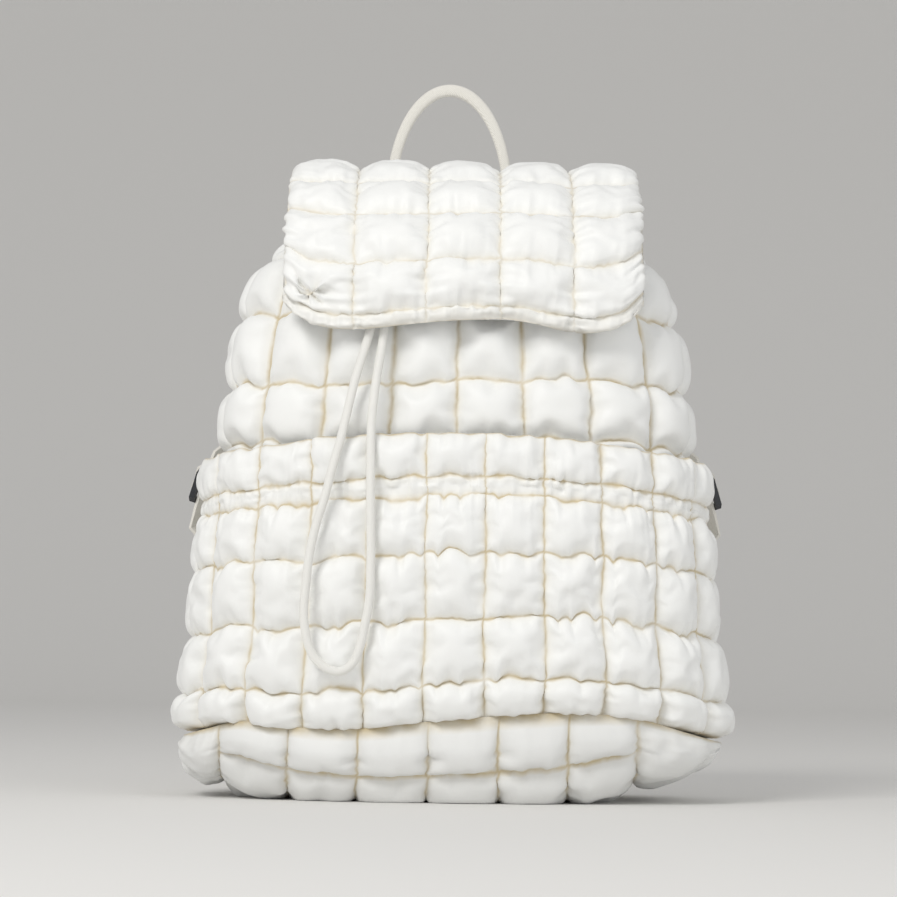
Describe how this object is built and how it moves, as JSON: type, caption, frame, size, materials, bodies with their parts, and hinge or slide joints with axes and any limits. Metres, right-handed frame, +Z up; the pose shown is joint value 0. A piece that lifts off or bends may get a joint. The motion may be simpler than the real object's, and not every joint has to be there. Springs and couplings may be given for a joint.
{
  "type": "quilted puffer backpack",
  "caption": "Quilted puffer backpack with a folded flap over a drawcord mouth, an elastic-topped front pocket, a carry handle and padded shoulder straps.",
  "frame": {"origin": "middle of the flat patch under the padded base, on the ground that the bag stands on", "axes": "+Z up, -Y towards the front with the pocket and flap edge, +X to the right seen from the front"},
  "size_m": [0.3582, 0.2447, 0.4742],
  "materials": {
    "puffer_fabric": "silky quilted nylon, cream white",
    "webbing": "woven cream webbing",
    "cord": "smooth woven cream cord",
    "black_plastic": "moulded, satin"
  },
  "bodies": {
    "root": {"body_shell": "puffer_fabric", "base_panel": "puffer_fabric", "front_pocket": "puffer_fabric", "top_flap": "puffer_fabric", "strap_pad_left": "puffer_fabric", "strap_pad_right": "puffer_fabric", "carry_handle": "webbing", "strap_tab_left": "webbing", "strap_tab_right": "webbing", "strap_webbing_left": "webbing", "strap_webbing_right": "webbing", "drawcord": "cord", "ladder_buckle_left": "black_plastic", "ladder_buckle_right": "black_plastic"}
  },
  "joints": []
}
